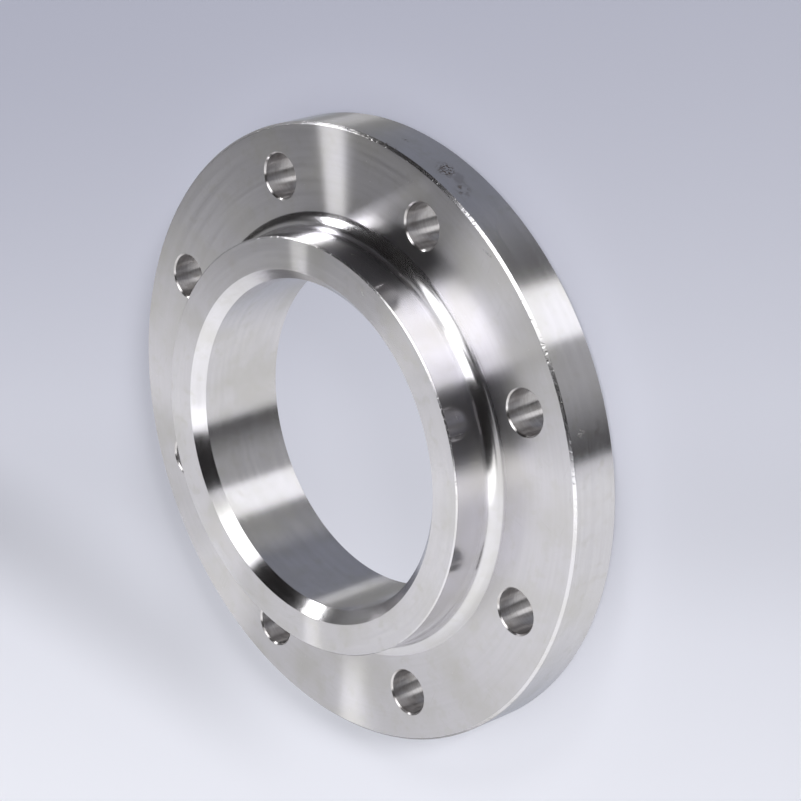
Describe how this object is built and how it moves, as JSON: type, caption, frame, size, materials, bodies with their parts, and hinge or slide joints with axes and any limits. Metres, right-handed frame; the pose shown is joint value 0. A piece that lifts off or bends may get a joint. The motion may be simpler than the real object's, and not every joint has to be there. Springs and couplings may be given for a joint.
{
  "type": "hubbed slip-on weld flange",
  "caption": "Round weld flange with a raised hub, a straight bore bevelled at the hub end and a circle of bolt holes, turned from stainless steel.",
  "frame": {"origin": "centre of the bore on the flat back face, on which the flange lies", "axes": "+Z along the bore axis, from the back face towards the hub; the bolt holes straddle the X and Y axes"},
  "size_m": [0.25, 0.25, 0.042],
  "materials": {
    "turned_stainless_steel": "fine concentric turning marks, bright"
  },
  "bodies": {
    "root": {"flange": "turned_stainless_steel"}
  },
  "joints": []
}
